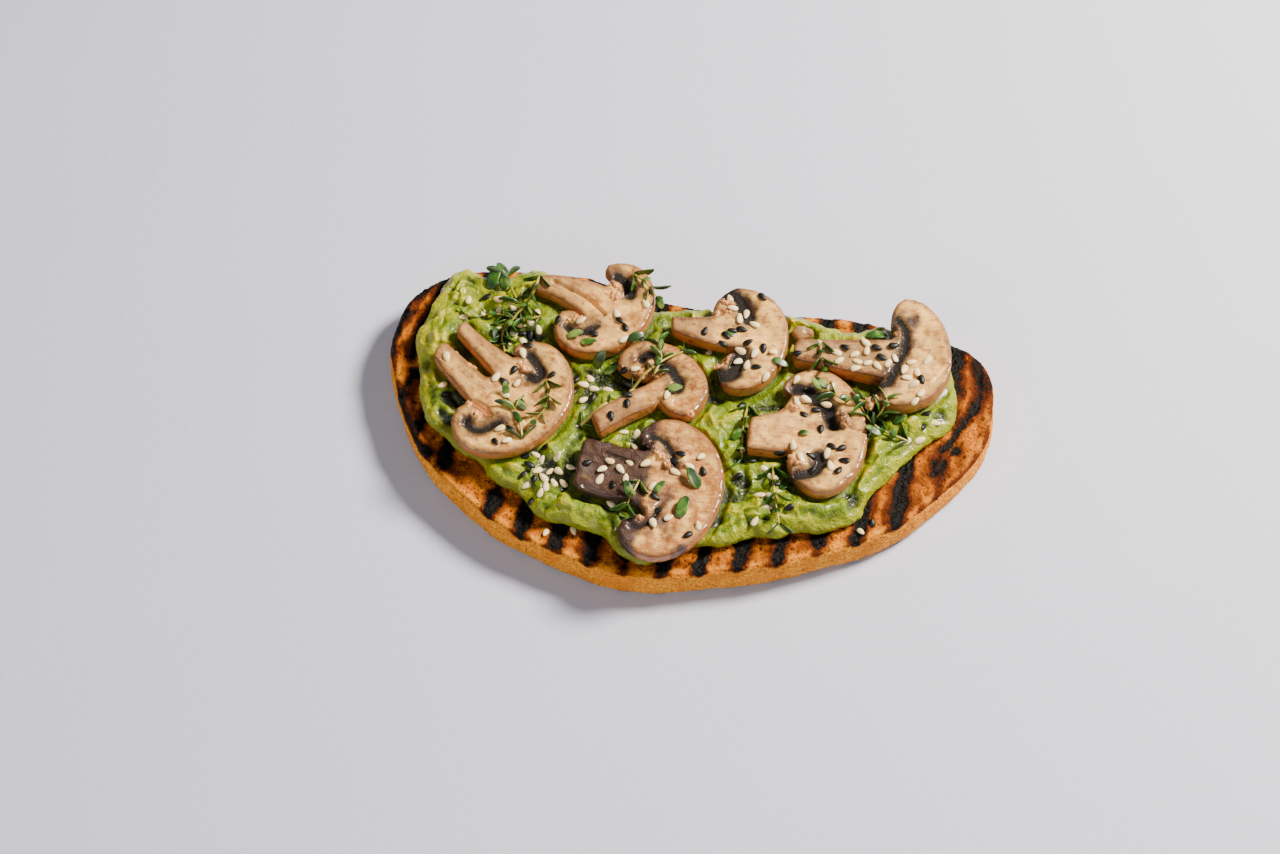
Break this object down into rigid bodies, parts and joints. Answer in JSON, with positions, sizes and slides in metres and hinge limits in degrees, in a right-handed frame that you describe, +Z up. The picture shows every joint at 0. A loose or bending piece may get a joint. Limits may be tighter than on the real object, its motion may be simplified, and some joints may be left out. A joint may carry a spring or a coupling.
{
  "type": "avocado toast",
  "caption": "Grilled slice of bread spread with crushed avocado and topped with lengthwise mushroom slices, lying flat.",
  "frame": {"origin": "middle of the bounding box, at the bottom, on the underside of the bread", "axes": "+X along the slice, from its rounder end to its squarer end; +Y towards the long edge that was the bottom of the loaf; +Z up, out of the topping"},
  "size_m": [0.1882, 0.1036, 0.0268],
  "materials": {
    "toast": "dry toasted crumb and crust, tan to orange-brown, with black grill marks",
    "avocado": "moist crushed avocado, bright yellow-green",
    "mushroom": "moist cooked mushroom, pale tan flesh, dark grey-brown gills",
    "seeds": "hulled white and whole black sesame seeds",
    "herbs": "fresh thyme leaves and stems"
  },
  "bodies": {
    "root": {"bread": "toast", "avocado": "avocado", "mushroom_left": "mushroom", "mushroom_back_left": "mushroom", "mushroom_centre": "mushroom", "mushroom_back": "mushroom", "mushroom_back_right": "mushroom", "mushroom_right": "mushroom", "mushroom_front": "mushroom", "mushroom_scrap": "mushroom"}
  },
  "joints": []
}
